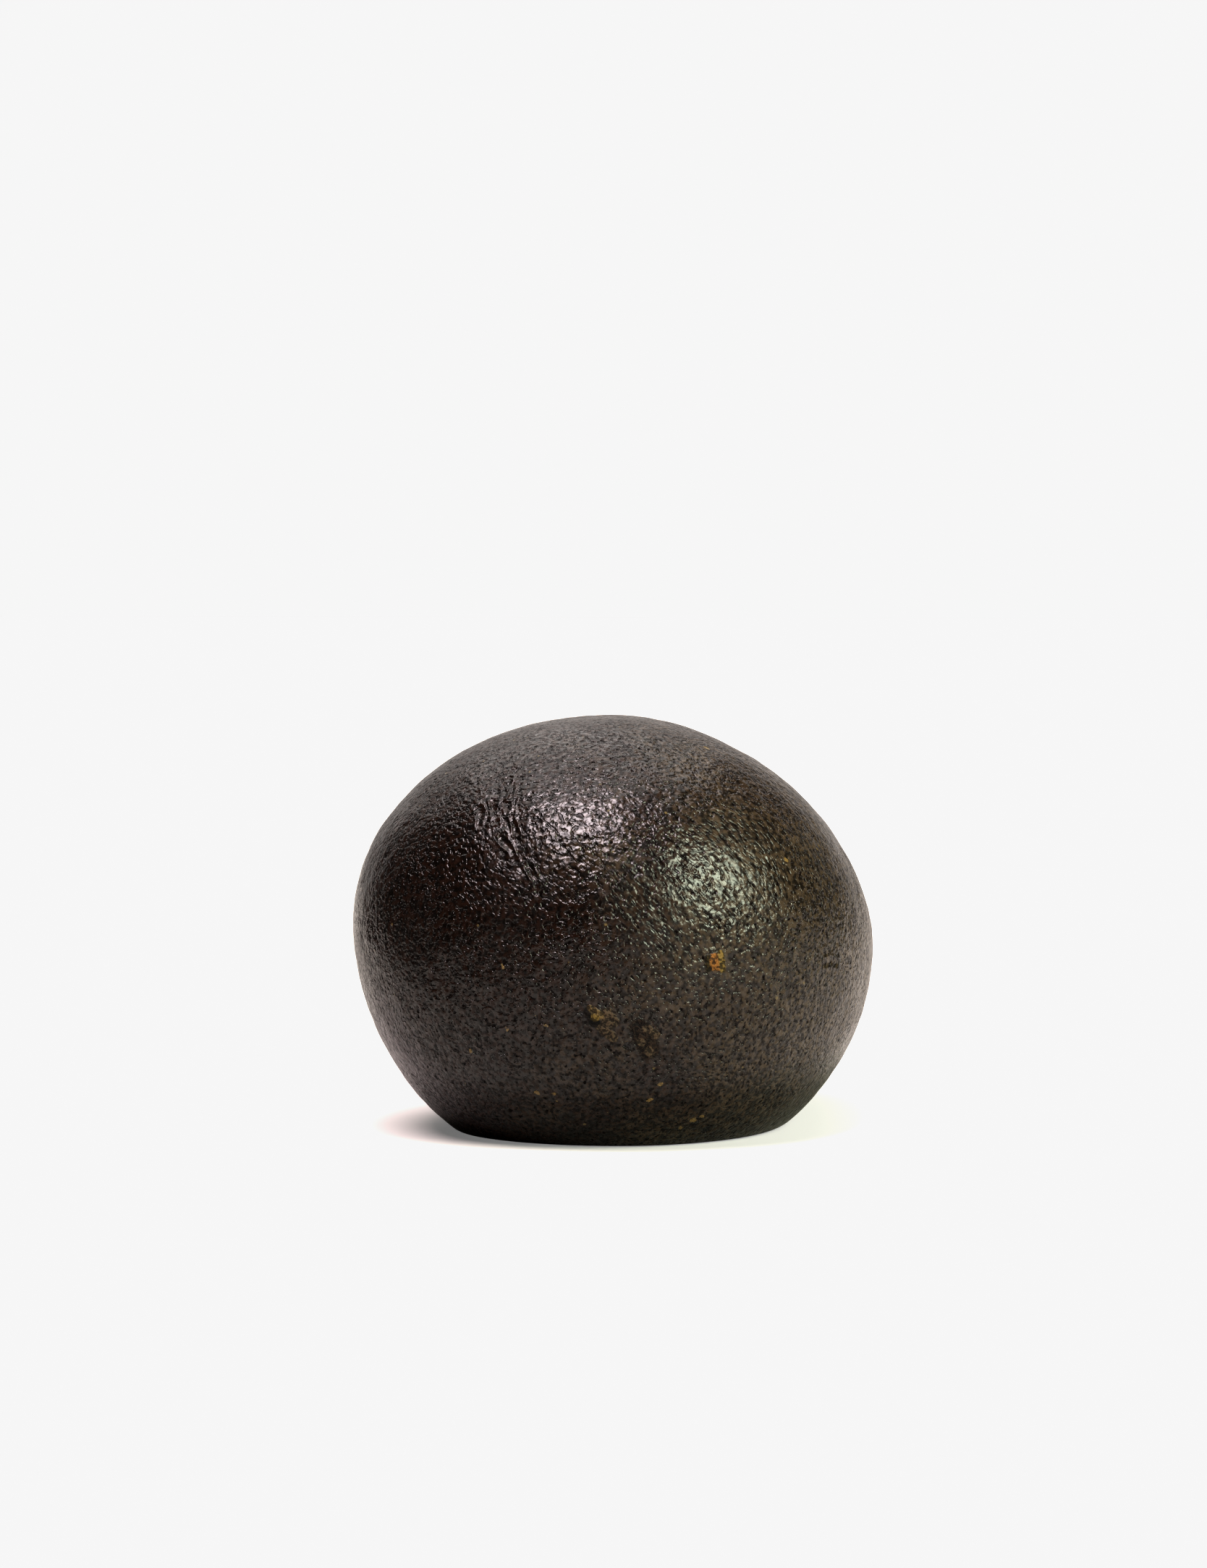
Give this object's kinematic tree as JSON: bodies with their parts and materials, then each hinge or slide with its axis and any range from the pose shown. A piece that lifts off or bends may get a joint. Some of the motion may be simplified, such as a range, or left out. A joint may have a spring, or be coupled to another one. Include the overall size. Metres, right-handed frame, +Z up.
{
  "type": "avocado",
  "caption": "Ripe whole avocado with dark, pebbly skin, lying on its side on a settled flat spot, with its woody stem button.",
  "frame": {"origin": "middle of the footprint's box, on the surface that the fruit lies on", "axes": "+Y along the fruit from the blossom end to the stem end, +Z up from the surface, +X to the right as seen from the blossom end"},
  "size_m": [0.07, 0.098, 0.0565],
  "materials": {
    "skin": "dark purple-brown to olive, pebbly and slightly waxy rind with small corky flecks",
    "stem_wood": "dry, dull, cracked bark-brown wood"
  },
  "bodies": {
    "root": {"fruit": "skin", "stem_button": "stem_wood"}
  },
  "joints": []
}
